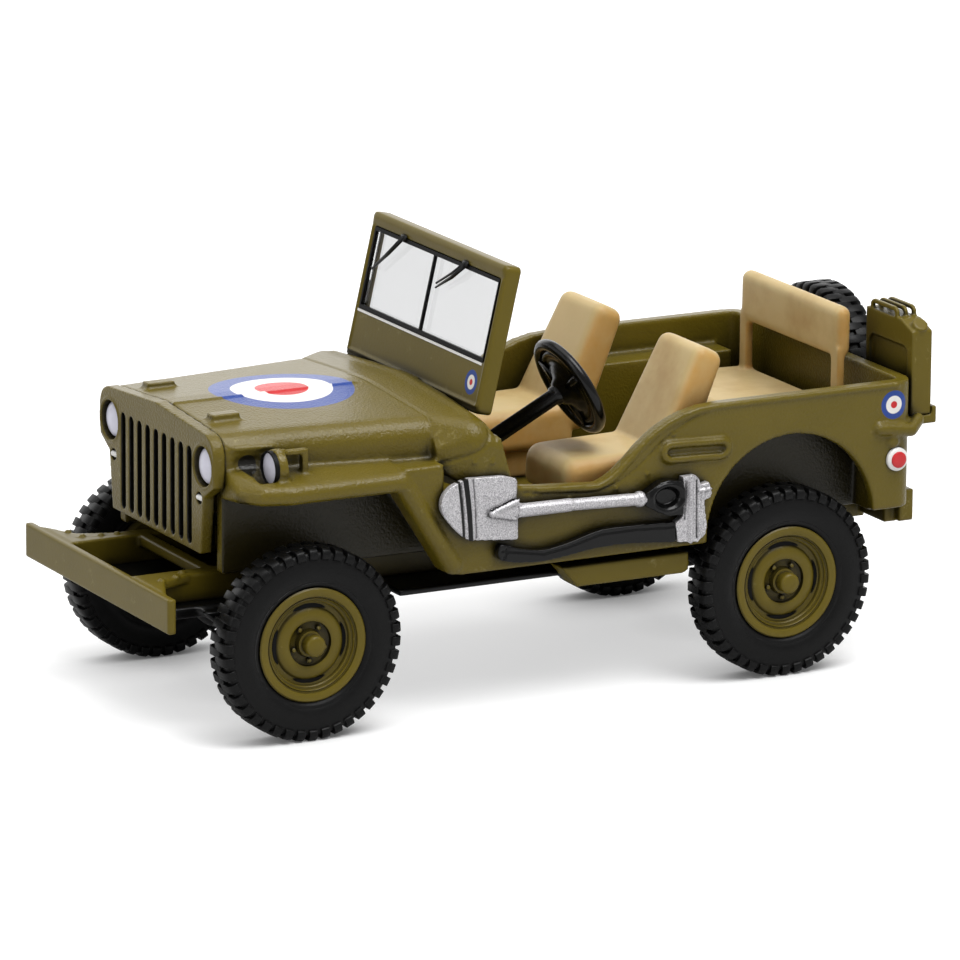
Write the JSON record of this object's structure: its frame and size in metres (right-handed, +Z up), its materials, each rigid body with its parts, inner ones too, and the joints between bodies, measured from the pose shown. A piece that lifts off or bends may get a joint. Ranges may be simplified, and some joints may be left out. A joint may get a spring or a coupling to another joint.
{
  "type": "toy army 4x4 car",
  "caption": "Small die-cast toy of a light open army car: raised windscreen, tan seats, shovel and axe on the side, spare wheel and petrol can behind, and wheels that roll on their axles.",
  "frame": {"origin": "on the ground under the middle of the toy's length and width", "axes": "+X forward along the car, +Y to the car's left, +Z up"},
  "size_m": [0.052, 0.0236, 0.0265],
  "materials": {
    "olive_casting": "satin",
    "olive_plastic": "satin",
    "black_plastic": "satin",
    "tan_plastic": "matt",
    "clear_plastic": "polished",
    "silver_paint": "metallic",
    "white_paint": "satin",
    "red_paint": "satin",
    "steel": "bare",
    "tyre_rubber": "matt"
  },
  "bodies": {
    "car": {"tub": "olive_casting", "cowl": "olive_casting", "hood": "olive_casting", "engine_bay": "olive_casting", "front_left_fender": "olive_casting", "front_right_fender": "olive_casting", "grille": "olive_casting", "radiator": "black_plastic", "frame": "olive_plastic", "base_plate": "black_plastic", "base_rivets": "steel", "windscreen_frame": "olive_plastic", "windscreen_glass": "clear_plastic", "wipers": "black_plastic", "driver_seat": "tan_plastic", "passenger_seat": "tan_plastic", "rear_seat": "tan_plastic", "steering_wheel": "black_plastic", "headlamps": "silver_paint", "marker_lamps": "white_paint", "blackout_lamp": "silver_paint", "tail_lamps": "red_paint", "shovel": "silver_paint", "shovel_grip": "black_plastic", "axe_head": "silver_paint", "axe_handle": "black_plastic", "petrol_can": "olive_plastic", "can_rack": "olive_plastic", "spare_wheel": "olive_plastic", "spare_tyre": "tyre_rubber"},
    "front_axle_set": {"front_axle": "steel", "front_left_wheel": "olive_plastic", "front_left_tyre": "tyre_rubber", "front_right_wheel": "olive_plastic", "front_right_tyre": "tyre_rubber"},
    "rear_axle_set": {"rear_axle": "steel", "rear_left_wheel": "olive_plastic", "rear_left_tyre": "tyre_rubber", "rear_right_wheel": "olive_plastic", "rear_right_tyre": "tyre_rubber"}
  },
  "joints": [
    {"name": "front_axle_roll", "type": "hinge", "parent": "car", "child": "front_axle_set", "pos_m": [0.01733, 0, 0.0058], "axis": [0, 1, 0], "continuous": true},
    {"name": "rear_axle_roll", "type": "hinge", "parent": "car", "child": "rear_axle_set", "pos_m": [-0.01443, 0, 0.0058], "axis": [0, 1, 0], "continuous": true}
  ]
}
